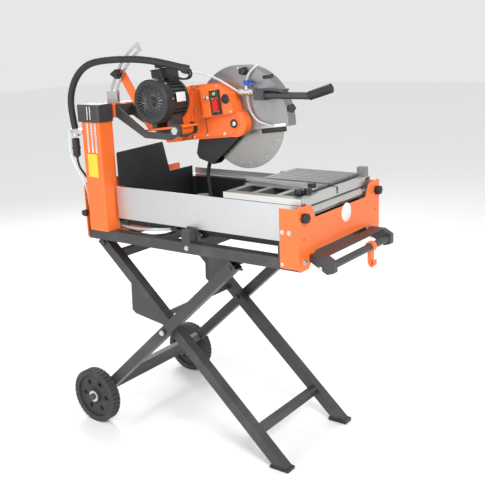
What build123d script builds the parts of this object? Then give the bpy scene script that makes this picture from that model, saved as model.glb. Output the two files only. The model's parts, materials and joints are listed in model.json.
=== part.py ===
from build123d import *
import os
from math import cos, pi, radians, sin, tan

# Masonry and tile saw on a folding scissor stand.
# Millimetres. +X is the operator's right, -Y the operator's side, +Z up, floor at z = 0.
os.makedirs("parts", exist_ok=True)

# ---- driving dimensions -------------------------------------------------------------
body_bottom = 880.0        # underside of the side panels above the floor
body_height = 127.0        # height of the side panels
body_width = 489.0         # over the outer faces of the side panels
body_length = 856.0        # length of the side panels
front_face = -515.0        # outer face of the front plate
sheet = 2.5                # sheet metal of body and panels
plate = 4.0                # thickness of the front and rear plates
plate_width = 580.0        # width of the front and rear plates
plate_flange = 75.0        # depth of the front plate's side flanges

tube_size = 40.0           # square tube of the stand
tube_wall = 2.0
rail_outer = 285.0         # outer face of the top rails from the middle
rail_gap = 45.0            # rails hang this far below the body
fold_angle = 42.5          # slope of the open legs
leg_upper = 453.0          # crossing bolt to each top pivot
hinge_y = 444.0            # rear top pivot of the front-foot legs
wheel_radius = 115.0
wheel_width = 38.0

blade_radius = 175.0
blade_thickness = 2.4
arbor_radius = 12.7
head_pivot_y = 45.0        # head tilt axis
head_pivot_z = 1230.0
head_pitch = 7.0           # nose-up pitch of the parked head
spindle_u = -154.0         # blade axis ahead of the tilt axis, along the head
spindle_w = -4.0           # and across it
motor_u = 75.0
motor_w = 114.0
motor_radius = 78.0
motor_left = -205.0        # free end of the motor body
motor_flange_x = -118.0    # mounting face of the motor
guard_radius = 207.0
guard_half = 25.0          # half width of the blade guard
arc_radius = 343.5         # middle of the slot in the depth arc
arc_width = 35.0
arc_x = -200.0
arc_plate = 6.0
clamp_angle = 36.0         # clamp bolt on the arc, parked

run_fit = 0.05             # radial clearance of a turning pin in its hole
gap = 0.5                  # clearance between neighbouring bodies
bolt_radius = 6.0
pivot_shaft_radius = 10.0

# ---- sizes that follow ---------------------------------------------------------------
panel_x = body_width / 2
body_top = body_bottom + body_height
body_front = front_face + plate
body_rear = body_front + body_length
rail_inner = rail_outer - tube_size
rail_top = body_bottom - rail_gap
rail_bottom = rail_top - tube_size
rail_front = body_front + 2
rear_plate_y = body_rear + 131
rail_rear = rear_plate_y - plate
hinge_drop = 0.7 * tube_size   # clears the corners of the cut leg ends
hinge_z = rail_bottom - hinge_drop
cross_y = hinge_y - leg_upper * cos(radians(fold_angle))
cross_z = hinge_z - leg_upper * sin(radians(fold_angle))
top_pin_y = 2 * cross_y - hinge_y
leg_b_lower = (cross_z - wheel_radius) / sin(radians(fold_angle))
axle_y = cross_y + leg_b_lower * cos(radians(fold_angle))
gusset_plate = 4.0         # plate inside the rail that hooks the wheeled leg's top pin
leg_a_outer = rail_inner - gusset_plate - 2
leg_a_inner = leg_a_outer - tube_size


def block(x0, x1, y0, y1, z0, z1, mode=Mode.ADD):
    """A box from its limits."""
    with Locations(((x0 + x1) / 2, (y0 + y1) / 2, (z0 + z1) / 2)):
        return Box(x1 - x0, y1 - y0, z1 - z0, mode=mode)


def rod_x(x0, x1, y, z, radius, mode=Mode.ADD):
    """A round bar along X."""
    with Locations(Location(((x0 + x1) / 2, y, z), (0, 90, 0))):
        return Cylinder(radius, x1 - x0, mode=mode)


def rod_y(y0, y1, x, z, radius, mode=Mode.ADD):
    """A round bar along Y."""
    with Locations(Location((x, (y0 + y1) / 2, z), (90, 0, 0))):
        return Cylinder(radius, y1 - y0, mode=mode)


def rod_z(z0, z1, x, y, radius, mode=Mode.ADD):
    """A round bar along Z."""
    with Locations((x, y, (z0 + z1) / 2)):
        return Cylinder(radius, z1 - z0, mode=mode)


def side_plane(x):
    """Sketch plane across the machine: local x is +Y, local y is +Z."""
    return Plane(origin=(x, 0, 0), x_dir=(0, 1, 0), z_dir=(1, 0, 0))


def front_plane(y):
    """Sketch plane facing the operator: local x is +X, local y is +Z."""
    return Plane(origin=(0, y, 0), x_dir=(1, 0, 0), z_dir=(0, -1, 0))


def head_point(x, u, w):
    """A point given along (u, rearwards) and across (w, upwards) the pitched head."""
    c = cos(radians(head_pitch))
    s = sin(radians(head_pitch))
    return (x, head_pivot_y + u * c + w * s, head_pivot_z - u * s + w * c)


def head_plane(x, u=0.0, w=0.0):
    """Sketch plane on the pitched head: local x is u, local y is w."""
    c = cos(radians(head_pitch))
    s = sin(radians(head_pitch))
    return Plane(origin=head_point(x, u, w), x_dir=(0, c, -s), z_dir=(1, 0, 0))


def head_slab(x0, x1, points, mode=Mode.ADD, corner=0.0):
    """A plate with an outline in head coordinates between two X positions."""
    with BuildSketch(head_plane(x0)) as outline:
        with BuildLine():
            Polyline(*points, close=True)
        make_face()
        if corner:
            fillet(vertices(), corner)
    return extrude(outline.sketch, amount=x1 - x0, mode=mode)


def head_disc(x0, x1, u, w, radius, mode=Mode.ADD):
    """A disc about an axis along X in head coordinates."""
    with BuildSketch(head_plane(x0, u, w)) as outline:
        Circle(radius)
    return extrude(outline.sketch, amount=x1 - x0, mode=mode)


def save(piece, name):
    """Label a finished piece and write it."""
    piece.label = name
    export_step(piece, f"parts/{name}.step")


def save_group(name, *pieces):
    """Write touching solids of one welded or assembled piece as one node."""
    group = Compound(label=name, children=[p.part if hasattr(p, "part") else p for p in pieces])
    export_step(group, f"parts/{name}.step")


# ---- body ----------------------------------------------------------------------------
ledge_z = body_top - 25            # running surface of the cart's wheels
ledge_width = 26.0
lip_width = 14.0

for side, side_name in ((-1, "left"), (1, "right")):
    # web, the ledge the cart rolls on, and the lip along the bottom
    panel_pieces = []
    for x_in, z0, z1 in (
        (panel_x - sheet, body_bottom, body_top),
        (panel_x - ledge_width, ledge_z - sheet, ledge_z),
        (panel_x - lip_width, body_bottom, body_bottom + sheet),
    ):
        x_out = panel_x if x_in == panel_x - sheet else panel_x - sheet
        with BuildPart() as strip:
            block(min(side * x_in, side * x_out), max(side * x_in, side * x_out), body_front,
                  body_front + body_length, z0, z1)
        panel_pieces.append(strip.part)
    save_group(f"side_panel_{side_name}", *panel_pieces)

tray_half = panel_x - ledge_width - 2
tray_bottom = body_bottom - 31
tray_wall = 3.0
tray_front = body_front + 48
tray_rear = body_rear - 12
with BuildPart() as water_tray:
    block(-tray_half, tray_half, tray_front, tray_rear, tray_bottom, ledge_z - 8)
    fillet(water_tray.edges().filter_by(Axis.Z), 18)
    fillet(water_tray.faces().sort_by(Axis.Z)[0].edges(), 12)
    offset(amount=-tray_wall, openings=water_tray.faces().sort_by(Axis.Z)[-1])
save(water_tray.part, "water_tray")

column_x0 = -300.0
column_x1 = -225.0

# ---- front and rear plates --------------------------------------------------------------
lobe_top = body_bottom + 134
lobe_bottom = body_bottom - 87
saddle_top = body_bottom + 81
arch_top = body_bottom - 30
lobe_in = plate_width / 2 - 82
plate_x = plate_width / 2
knob_z = body_bottom + 94
knob_x = plate_x - 28
plate_hole_z = body_bottom + 19

with BuildPart() as front_plate:
    with BuildSketch(front_plane(body_front)):
        with BuildLine():
            Polyline(
                (-plate_x, lobe_bottom),
                (-plate_x, lobe_top),
                (-lobe_in, lobe_top - 6),
                (-lobe_in + 26, saddle_top),
                (lobe_in - 26, saddle_top),
                (lobe_in, lobe_top - 6),
                (plate_x, lobe_top),
                (plate_x, lobe_bottom),
                (lobe_in + 22, lobe_bottom),
                (lobe_in - 22, arch_top - 2),
                (-lobe_in + 22, arch_top - 2),
                (-lobe_in - 22, lobe_bottom),
                close=True,
            )
        make_face()
        fillet(vertices(), 9)
        with Locations(
            (-knob_x, knob_z),
            (knob_x, knob_z),
            (-knob_x + 5, plate_hole_z),
            (knob_x - 5, plate_hole_z),
        ):
            Circle(5, mode=Mode.SUBTRACT)
    extrude(amount=plate)
    for side in (-1, 1):
        block(
            min(side * plate_x, side * (plate_x - plate)),
            max(side * plate_x, side * (plate_x - plate)),
            body_front,
            front_face + plate_flange,
            lobe_bottom + 9,
            lobe_top - 9,
        )
save(front_plate.part, "front_plate")

rear_plate_bottom = body_bottom - 85
with BuildPart() as rear_plate:
    with BuildSketch(front_plane(rear_plate_y)):
        with BuildLine():
            Polyline(
                (-plate_x, rear_plate_bottom),
                (-plate_x, lobe_top),
                (plate_x, lobe_top),
                (plate_x, rear_plate_bottom),
                (lobe_in, rear_plate_bottom),
                (lobe_in - 40, body_bottom - 130),
                (-lobe_in + 40, body_bottom - 130),
                (-lobe_in, rear_plate_bottom),
                close=True,
            )
        make_face()
        fillet(vertices(), 12)
    extrude(amount=plate)
    # top shelf that ties the plate back to the body
    block(column_x1, plate_x, body_rear, rear_plate_y - plate, body_bottom + 60, body_bottom + 64)
save(rear_plate.part, "rear_plate")

# ---- column, cap and beam -----------------------------------------------------------------
column_y0 = body_rear + 8
column_y1 = column_y0 + 96
column_top = body_bottom + 378
with BuildPart() as column:
    block(column_x0, column_x1, column_y0, column_y1, rail_top, column_top)
    fillet(column.edges().filter_by(Axis.Z), 6)
    # the tube is hollow all the way down
    block(
        column_x0 + 4, column_x1 - 4, column_y0 + 4, column_y1 - 4, rail_top, column_top,
        Mode.SUBTRACT,
    )
    # recess along the outer face for the height scale
    block(column_x0, column_x0 + 1.5, column_y0 + 16, column_y1 - 12, column_top - 120, column_top,
          Mode.SUBTRACT)
save(column.part, "column")

cap_height = 66.0
cap_top = column_top + cap_height
with BuildPart() as column_cap:
    block(column_x0 - 5, column_x1, column_y0 - 6, column_y1 + 14, column_top, cap_top)
    fillet(column_cap.edges().filter_by(Axis.Z), 8)
    fillet(column_cap.faces().sort_by(Axis.Z)[-1].edges(), 5)
    block(column_x0 - 5, column_x0 - 2, column_y0 + 30, column_y0 + 36, column_top + 8, cap_top - 8,
          Mode.SUBTRACT)
    block(column_x0 - 5, column_x0 - 2, column_y0 + 46, column_y0 + 52, column_top + 8, cap_top - 8,
          Mode.SUBTRACT)
save(column_cap.part, "column_cap")

beam_front = column_y0 - 8
beam_rear = beam_front + 66
beam_bottom = body_bottom + 388
beam_top = body_bottom + 442
beam_end = -96.0
with BuildPart() as head_beam:
    block(column_x1, beam_end, beam_front, beam_rear, beam_bottom, beam_top)
    fillet(head_beam.edges().filter_by(Axis.X), 6)
    block(column_x1, beam_end, beam_front + 4, beam_rear - 4, beam_bottom + 4, beam_top - 4,
          Mode.SUBTRACT)
save(head_beam.part, "head_beam")

# ---- tilt bearing of the head ---------------------------------------------------------------
arm_left = -215.0
arm_right = -127.0
arm_plate = 8.0
arm_boss = 23.0


def cradle_arm(x0):
    """One side arm of the cradle, from the beam forward to the tilt shaft."""
    with BuildSketch(side_plane(x0)) as outline:
        with BuildLine():
            Polyline(
                (beam_front, beam_top - 4),
                (head_pivot_y + 150, head_pivot_z - 10),
                (head_pivot_y + 34, head_pivot_z - 12),
                (head_pivot_y + 16, head_pivot_z + 14),
                (head_pivot_y - 18, head_pivot_z - 10),
                (head_pivot_y + 30, head_pivot_z - 36),
                (head_pivot_y + 156, head_pivot_z - 34),
                (beam_front, beam_bottom + 4),
                close=True,
            )
        make_face()
        with Locations((head_pivot_y, head_pivot_z)):
            Circle(arm_boss)
            Circle(pivot_shaft_radius, mode=Mode.SUBTRACT)
    return extrude(outline.sketch, amount=arm_plate)


with BuildPart() as pivot_cradle:
    cradle_arm(arm_left)
    cradle_arm(arm_right)
    block(arm_left, arm_right + arm_plate, beam_front - 8, beam_front, beam_bottom + 4, beam_top - 4)
save(pivot_cradle.part, "pivot_cradle")

with BuildPart() as pivot_shaft:
    rod_x(arm_left - 12, arm_right + arm_plate - 1, head_pivot_y, head_pivot_z, pivot_shaft_radius)
    with BuildSketch(side_plane(arm_left - 12)):
        with Locations((head_pivot_y, head_pivot_z)):
            RegularPolygon(15, 6)
    extrude(amount=10)
save(pivot_shaft.part, "pivot_shaft")

arc_start = 19.0
arc_end = 61.0
slot_start = 24.0
slot_end = 58.5
slot_width = 14.0


def arc_band(inner, outer, start, end):
    """A band of a ring about the tilt axis."""
    with BuildSketch(side_plane(arc_x - arc_plate / 2)) as band:
        with BuildLine():
            a = CenterArc((head_pivot_y, head_pivot_z), outer, start, end - start)
            b = CenterArc((head_pivot_y, head_pivot_z), inner, start, end - start)
            Line(a @ 0, b @ 0)
            Line(a @ 1, b @ 1)
        make_face()
    return band.sketch


with BuildPart() as slotted_arc:
    extrude(arc_band(arc_radius - arc_width / 2, arc_radius + arc_width / 2, arc_start, arc_end),
            amount=arc_plate)
    extrude(arc_band(arc_radius - slot_width / 2, arc_radius + slot_width / 2, slot_start, slot_end),
            amount=arc_plate, mode=Mode.SUBTRACT)
save(slotted_arc.part, "slotted_arc")

arc_foot_y = head_pivot_y + arc_radius * cos(radians(arc_start + 1.5))
arc_foot_z = head_pivot_z + arc_radius * sin(radians(arc_start + 1.5))
with BuildPart() as arc_bracket:
    for x0 in (arc_x - arc_plate / 2 - 6, arc_x + arc_plate / 2):
        block(x0, x0 + 6, arc_foot_y - 28, arc_foot_y + 24, beam_top, arc_foot_z + 20)
    block(arc_x - arc_plate / 2 - 6, arc_x + arc_plate / 2 + 6, arc_foot_y - 28, arc_foot_y + 24,
          beam_top, beam_top + 6)
save(arc_bracket.part, "arc_bracket")

# ---- splash guard ---------------------------------------------------------------------------
splash_y = body_rear - 8
with BuildPart() as splash_guard:
    with BuildSketch(front_plane(splash_y)):
        with BuildLine():
            Polyline(
                (-tray_half - 20, body_bottom + 128),
                (-tray_half - 20, body_bottom + 258),
                (28, body_bottom + 266),
                (66, body_bottom + 128),
                close=True,
            )
        make_face()
        fillet(vertices(), 8)
    extrude(amount=4)
    block(-tray_half + 6, tray_half - 6, splash_y - 4, splash_y, ledge_z - 20, body_bottom + 140)
save(splash_guard.part, "splash_guard")


# ---- stand: top frame ---------------------------------------------------------------------
def square_tube(start, end, size=tube_size, wall=tube_wall):
    """A hollow square tube between two points, its sides upright or along X."""
    path = Vector(*end) - Vector(*start)
    across = Vector(1, 0, 0) if abs(path.normalized().X) < 0.5 else Vector(0, 1, 0)
    with BuildPart() as tube:
        with BuildSketch(Plane(origin=start, x_dir=across, z_dir=path)):
            Rectangle(size, size)
            Rectangle(size - 2 * wall, size - 2 * wall, mode=Mode.SUBTRACT)
        extrude(amount=path.length)
    return tube.part


rail_x = rail_outer - tube_size / 2
rail_z = rail_top - tube_size / 2
hanger_plate = 5.0
pin_radius = 8.0
rear_cross = 30.0
rear_cross_y = rail_rear - 1 - rear_cross / 2
rear_cross_z = rail_top - rear_cross / 2
top_pieces = []
for side in (-1, 1):
    top_pieces.append(square_tube((side * rail_x, rail_front, rail_z), (side * rail_x, rail_rear, rail_z)))
for cross_at in (rail_front + 60, rail_front + 480):
    top_pieces.append(square_tube((-rail_inner, cross_at, rail_z), (rail_inner, cross_at, rail_z)))
top_pieces.append(square_tube((-rail_inner, rear_cross_y, rear_cross_z),
                              (rail_inner, rear_cross_y, rear_cross_z), rear_cross))

mount_in = tray_half + 3
mount_length = 40.0
for side in (-1, 1):
    rear_mount = [column_y0 - 60] if side > 0 else []
    for mount_at in [rail_front + 60, rail_front + 480] + rear_mount:
        with BuildPart() as body_mount:
            block(min(side * mount_in, side * rail_outer), max(side * mount_in, side * rail_outer),
                  mount_at - mount_length / 2, mount_at + mount_length / 2, rail_top, body_bottom)
        top_pieces.append(body_mount.part)
    # plate under the rear cross tube that carries the hinge bolt of the front-foot leg
    hanger_in = leg_a_inner - 2 - hanger_plate
    with BuildPart() as rear_hanger:
        hanger_x = side * (hanger_in + hanger_plate / 2)
        block(hanger_x - hanger_plate / 2, hanger_x + hanger_plate / 2, hinge_y - 26,
              rear_cross_y + rear_cross / 2, hinge_z - 22, rear_cross_z - rear_cross / 2)
        rod_x(hanger_x - hanger_plate, hanger_x + hanger_plate, hinge_y, hinge_z, bolt_radius,
              Mode.SUBTRACT)
    top_pieces.append(rear_hanger.part)
    with BuildPart() as hinge_bolt:
        x_in = side * (hanger_in - 8)
        x_out = side * (leg_a_outer + 1)
        rod_x(min(x_in, x_out), max(x_in, x_out), hinge_y, hinge_z, bolt_radius)
        rod_x(min(x_in, x_in + side * 8), max(x_in, x_in + side * 8), hinge_y, hinge_z, 11)
        rod_x(min(x_out, x_out + side * 6), max(x_out, x_out + side * 6), hinge_y, hinge_z, 11)
    top_pieces.append(hinge_bolt.part)
    # gusset inside the rail, with a hook for the top pin of the wheeled leg
    gusset_x = rail_inner - gusset_plate if side > 0 else -rail_inner
    hook_reach = pin_radius + gap
    for outline in (
        [(top_pin_y - 26, rail_top - 6), (top_pin_y + 128, rail_top - 6),
         (top_pin_y + 127, hinge_z + hook_reach), (top_pin_y - 26, hinge_z + hook_reach)],
        [(top_pin_y + hook_reach, hinge_z + hook_reach), (top_pin_y + 127, hinge_z + hook_reach),
         (top_pin_y + 126, hinge_z - 72), (top_pin_y + 104, hinge_z - 78),
         (top_pin_y + hook_reach, hinge_z - 16)],
        [(top_pin_y - 26, hinge_z - hook_reach), (top_pin_y + hook_reach, hinge_z - hook_reach),
         (top_pin_y + hook_reach, hinge_z - 16), (top_pin_y - 26, hinge_z - 16)],
    ):
        with BuildPart() as front_gusset:
            with BuildSketch(side_plane(gusset_x)):
                with BuildLine():
                    Polyline(*outline, close=True)
                make_face()
            extrude(amount=gusset_plate)
        top_pieces.append(front_gusset.part)
save_group("stand_top_frame", *top_pieces)

# ---- stand: legs ----------------------------------------------------------------------------
slope = (cos(radians(fold_angle)), sin(radians(fold_angle)))


def leg_a_point(x, along, off=0.0):
    """A point on the front-foot leg, measured from its top pivot down to the front."""
    return (x, hinge_y - along * slope[0] - off * slope[1], hinge_z - along * slope[1] + off * slope[0])


def leg_b_point(x, along, off=0.0):
    """A point on the wheeled leg, measured from its top pin down to the rear."""
    return (x, top_pin_y + along * slope[0] + off * slope[1], hinge_z - along * slope[1] + off * slope[0])


foot_height = 14.0
leg_a_length = (hinge_z - foot_height) / slope[1]
leg_top_over = 18.0
leg_a_x = (leg_a_inner + leg_a_outer) / 2
leg_a_pieces = []
for side in (-1, 1):
    with BuildPart() as leg_a:
        add(square_tube(leg_a_point(side * leg_a_x, -leg_top_over),
                        leg_a_point(side * leg_a_x, leg_a_length + 60)))
        rod_x(side * leg_a_x - tube_size, side * leg_a_x + tube_size, hinge_y, hinge_z,
              bolt_radius + run_fit, Mode.SUBTRACT)
        rod_x(side * leg_a_x - tube_size, side * leg_a_x + tube_size, cross_y, cross_z, bolt_radius,
              Mode.SUBTRACT)
        block(-plate_x, plate_x, hinge_y - 900, hinge_y, -80, foot_height, Mode.SUBTRACT)
    leg_a_pieces.append(leg_a.part)
    # triangular stop plate behind the crossing
    stop_x = side * leg_a_outer - (4 if side > 0 else 0)
    with BuildPart() as stop_plate:
        low = leg_a_point(0, leg_upper - 30, -tube_size / 2)
        high = leg_a_point(0, leg_upper - 250, -tube_size / 2)
        with BuildSketch(side_plane(stop_x)):
            with BuildLine():
                Polyline(
                    (low[1], low[2]),
                    (high[1], high[2]),
                    (high[1] + 4, high[2] - 110),
                    (high[1] - 14, high[2] - 124),
                    (low[1] + 12, low[2] + 4),
                    close=True,
                )
            make_face()
        extrude(amount=4)
    leg_a_pieces.append(stop_plate.part)
    # crossing bolt, fixed in this leg and turning in the wheeled one
    with BuildPart() as crossing_bolt:
        x_in = side * (leg_a_inner - 12)
        x_out = side * (rail_outer + 3)
        rod_x(min(x_in, x_out), max(x_in, x_out), cross_y, cross_z, bolt_radius)
        for x_head in (x_in, side * (rail_outer + 2)):
            with BuildSketch(side_plane(min(x_head, x_head + side * 7))):
                with Locations((cross_y, cross_z)):
                    RegularPolygon(11, 6)
            extrude(amount=7)
    leg_a_pieces.append(crossing_bolt.part)
leg_a_braces = ((70, 30.0), (leg_upper - 62, 16.0), (leg_a_length - 150, 30.0))
for along, size in leg_a_braces:
    leg_a_pieces.append(square_tube(leg_a_point(-leg_a_inner, along), leg_a_point(leg_a_inner, along), size))
save_group("leg_a_frame", *leg_a_pieces)

with BuildPart() as leg_feet:
    foot_at = leg_a_point(0, leg_a_length)
    for side in (-1, 1):
        block(side * leg_a_x - 24, side * leg_a_x + 24, foot_at[1] - 42, foot_at[1] + 38, 0, foot_height)
    chamfer(leg_feet.faces().sort_by(Axis.Z)[-1].edges(), 4)
save(leg_feet.part, "leg_feet")

leg_b_total = leg_upper + leg_b_lower
axle_radius = 8.0
leg_b_pieces = []
for side in (-1, 1):
    with BuildPart() as leg_b:
        add(square_tube(leg_b_point(side * rail_x, -leg_top_over),
                        leg_b_point(side * rail_x, leg_b_total + 24)))
        rod_x(side * rail_x - tube_size, side * rail_x + tube_size, cross_y, cross_z,
              bolt_radius + run_fit, Mode.SUBTRACT)
        rod_x(side * rail_x - tube_size, side * rail_x + tube_size, top_pin_y, hinge_z, pin_radius,
              Mode.SUBTRACT)
        rod_x(side * rail_x - tube_size, side * rail_x + tube_size, axle_y, wheel_radius, axle_radius,
              Mode.SUBTRACT)
    leg_b_pieces.append(leg_b.part)
    with BuildPart() as top_pin:
        x_in = side * (rail_inner - gusset_plate - gap)
        x_out = side * (rail_outer + 6)
        rod_x(min(x_in, x_out), max(x_in, x_out), top_pin_y, hinge_z, pin_radius)
    leg_b_pieces.append(top_pin.part)
    with BuildPart() as wheel_axle:
        x_in = side * (rail_inner - 6)
        x_out = side * (rail_outer + 4 + wheel_width + 14)
        rod_x(min(x_in, x_out), max(x_in, x_out), axle_y, wheel_radius, axle_radius)
        rod_x(min(x_out, x_out - side * 10), max(x_out, x_out - side * 10), axle_y, wheel_radius, 14)
    leg_b_pieces.append(wheel_axle.part)
for along, size in ((leg_b_total - 140, 30.0), (leg_b_total - 50, 30.0)):
    leg_b_pieces.append(square_tube(leg_b_point(-rail_inner, along), leg_b_point(rail_inner, along), size))
save_group("leg_b_frame", *leg_b_pieces)

# ---- transport wheels --------------------------------------------------------------------------
tread_count = 36
for side, side_name in ((-1, "left"), (1, "right")):
    wheel_in = rail_outer + 4
    x0 = side * wheel_in if side > 0 else -wheel_in - wheel_width
    with BuildPart() as wheel:
        rod_x(x0, x0 + wheel_width, axle_y, wheel_radius, wheel_radius)
        # dished faces between hub and rim
        for face_x in (x0, x0 + wheel_width - 9):
            with BuildSketch(side_plane(face_x)):
                with Locations((axle_y, wheel_radius)):
                    Circle(wheel_radius - 24)
                    Circle(30, mode=Mode.SUBTRACT)
            extrude(amount=9, mode=Mode.SUBTRACT)
        # weight-saving holes in the web
        with BuildSketch(side_plane(x0)):
            with Locations((axle_y, wheel_radius)):
                with PolarLocations(60, 6):
                    Circle(11)
        extrude(amount=wheel_width, mode=Mode.SUBTRACT)
        # tread grooves
        with BuildSketch(side_plane(x0)):
            with Locations((axle_y, wheel_radius)):
                with PolarLocations(wheel_radius, tread_count, start_angle=180 / tread_count + 90):
                    Rectangle(6, 5)
        extrude(amount=wheel_width, mode=Mode.SUBTRACT)
        rod_x(x0, x0 + wheel_width, axle_y, wheel_radius, axle_radius + run_fit, Mode.SUBTRACT)
    save(wheel.part, f"wheel_{side_name}")


# ---- front handle ------------------------------------------------------------------------------
handle_arm_x = 212.0
handle_arm_width = 26.0
handle_reach = 92.0
handle_bar_y = front_face - 76
handle_bar_z = body_bottom - 72
handle_bar_radius = 13.0
with BuildPart() as front_handle:
    for side in (-1, 1):
        with BuildSketch(side_plane(side * handle_arm_x - handle_arm_width / 2)):
            with BuildLine():
                Polyline(
                    (front_face, body_bottom - 38),
                    (front_face, body_bottom - 62),
                    (handle_bar_y + 10, handle_bar_z - 28),
                    (front_face - handle_reach, handle_bar_z - 20),
                    (front_face - handle_reach, handle_bar_z + 16),
                    (front_face - 60, body_bottom - 38),
                    close=True,
                )
            make_face()
            fillet(vertices(), 3)
        extrude(amount=handle_arm_width)
    rod_x(-handle_arm_x, handle_arm_x, handle_bar_y, handle_bar_z, handle_bar_radius)
    block(-handle_arm_x, handle_arm_x, front_face - 58, front_face - 12, body_bottom - 43,
          body_bottom - 38)
save(front_handle.part, "front_handle")

hook_x = 62.0
hook_width = 22.0
with BuildPart() as hose_hook:
    with BuildSketch(side_plane(hook_x)):
        with Locations((handle_bar_y, handle_bar_z)):
            Circle(handle_bar_radius + 6)
        with BuildLine():
            Polyline(
                (handle_bar_y - 8, handle_bar_z - 12),
                (handle_bar_y - 6, handle_bar_z - 62),
                (handle_bar_y - 10, handle_bar_z - 67),
                (handle_bar_y - 14, handle_bar_z - 62),
                (handle_bar_y - 14, handle_bar_z - 48),
                (handle_bar_y - 18, handle_bar_z - 48),
                (handle_bar_y - 18, handle_bar_z - 66),
                (handle_bar_y - 8, handle_bar_z - 76),
                (handle_bar_y + 2, handle_bar_z - 70),
                (handle_bar_y + 8, handle_bar_z - 58),
                (handle_bar_y + 8, handle_bar_z - 12),
                close=True,
            )
        make_face()
        with Locations((handle_bar_y, handle_bar_z)):
            Circle(handle_bar_radius + run_fit, mode=Mode.SUBTRACT)
    extrude(amount=hook_width)
save(hose_hook.part, "hose_hook")

# ---- front roller ---------------------------------------------------------------------------------
roller_radius = 19.0
roller_y = front_face + 32
roller_z = body_bottom + 97
roller_half = lobe_in - 30
with BuildPart() as front_roller:
    rod_x(-roller_half, roller_half, roller_y, roller_z, roller_radius)
    rod_x(-panel_x + ledge_width + 2, panel_x - ledge_width - 2, roller_y, roller_z, 6)
    for x_ring in (-roller_half + 6, roller_half - 10):
        rod_x(x_ring, x_ring + 4, roller_y, roller_z, roller_radius + 1)
save(front_roller.part, "front_roller")

with BuildPart() as roller_brackets:
    for side in (-1, 1):
        x0 = side * (panel_x - ledge_width - 2)
        x1 = side * (panel_x - ledge_width - 12)
        block(min(x0, x1), max(x0, x1), body_front, roller_y + 12, roller_z - 26, roller_z + 8)
        rod_x(min(x0, x1) - 1, max(x0, x1) + 1, roller_y, roller_z, 6 + run_fit, Mode.SUBTRACT)
save(roller_brackets.part, "roller_brackets")

# ---- cart -----------------------------------------------------------------------------------------
cart_front = front_face + 16
cart_length = 320.0
cart_rear = cart_front + cart_length
cart_bottom = body_top + 2
cart_deck = body_bottom + 150
deck_top = body_bottom + 158
blade_slot = 14.0
cart_wheel_radius = 16.0
axle_z = ledge_z + cart_wheel_radius + 0.3
cart_wheel_width = 12.0
cart_wheel_x = panel_x - ledge_width / 2 - 2
cart_axle_radius = 5.0
ear_x = panel_x - ledge_width - 6
slat_depth = 30.0
cart_axles = (cart_front + 60, cart_rear - 50)
with BuildPart() as cart_frame:
    for side in (-1, 1):
        x0 = side * panel_x
        x1 = side * (panel_x - 3)
        block(min(x0, x1), max(x0, x1), cart_front, cart_rear, cart_bottom, cart_deck)
        x1 = side * (ear_x - 4)
        block(min(x0, x1), max(x0, x1), cart_front, cart_rear, cart_deck - 3, cart_deck)
        x0 = side * ear_x
        block(min(x0, x1), max(x0, x1), cart_front + 20, cart_rear - 20, axle_z - 11, cart_deck)
    # slats across, notched where the blade runs
    for y_slat in (cart_front + 3, cart_front + 100, cart_front + 200, cart_rear - 24):
        block(-ear_x, ear_x, y_slat, y_slat + 24, cart_deck - slat_depth, cart_deck)
        block(-ear_x, ear_x, y_slat + 3, y_slat + 21, cart_deck - slat_depth, cart_deck - 4,
              Mode.SUBTRACT)
    for y_axle in cart_axles:
        rod_x(-panel_x + 3, panel_x - 3, y_axle, axle_z, cart_axle_radius + run_fit, Mode.SUBTRACT)
    block(-blade_slot / 2, blade_slot / 2, cart_front, cart_rear, cart_deck - 24, cart_deck,
          Mode.SUBTRACT)
save(cart_frame.part, "cart_frame")


deck_left = -112.0
deck_right = 238.0
deck_front = cart_front + 36
rib_pitch = 26.0
with BuildPart() as cart_top:
    block(deck_left, -blade_slot / 2, deck_front, cart_rear, cart_deck, deck_top)
    block(blade_slot / 2, deck_right, deck_front, cart_rear, cart_deck, deck_top)
    chamfer(cart_top.edges().filter_by(Axis.Z).sort_by(Axis.X)[0], 14)
    # anti-slip grooves along the cut
    rib_count = int((deck_right - deck_left) // rib_pitch)
    for i in range(rib_count):
        x_rib = deck_left + 18 + i * rib_pitch
        block(x_rib, x_rib + 5, deck_front + 10, cart_rear - 10, deck_top - 2.5, deck_top, Mode.SUBTRACT)
    # fence block on the far front corner
    block(deck_right - 26, deck_right, cart_front + 4, deck_front + 2, cart_deck, deck_top + 27)
save(cart_top.part, "cart_top")

guide_length = 316.0
guide_pivot = (-100.0, cart_front + 46, deck_top + gap)
guide_turn = 7.0
guide_height = 12.0
guide_plane = Plane(
    origin=guide_pivot,
    x_dir=(sin(radians(guide_turn)), cos(radians(guide_turn)), 0),
    z_dir=(0, 0, 1),
)
guide_bolt = 5.0
with BuildPart() as guide_bar:
    with BuildSketch(guide_plane):
        with Locations((guide_length / 2 - 16, 0)):
            Rectangle(guide_length, 16)
        Circle(17)
        Circle(guide_bolt + run_fit, mode=Mode.SUBTRACT)
    extrude(amount=3)
    with BuildSketch(guide_plane.offset(3)):
        with Locations((guide_length / 2 + 4, 6.5)):
            Rectangle(guide_length - 40, 3)
    extrude(amount=guide_height)
save(guide_bar.part, "guide_bar")

with BuildPart() as guide_knob:
    rod_z(guide_pivot[2], guide_pivot[2] + 8, guide_pivot[0], guide_pivot[1], guide_bolt)
    with BuildSketch(Plane(origin=(guide_pivot[0], guide_pivot[1], guide_pivot[2] + 3 + gap))):
        Circle(11)
        with PolarLocations(11, 5):
            Circle(4.5)
    extrude(amount=15)
    fillet(guide_knob.faces().sort_by(Axis.Z)[-1].edges(), 2)
save(guide_knob.part, "guide_knob")

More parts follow.
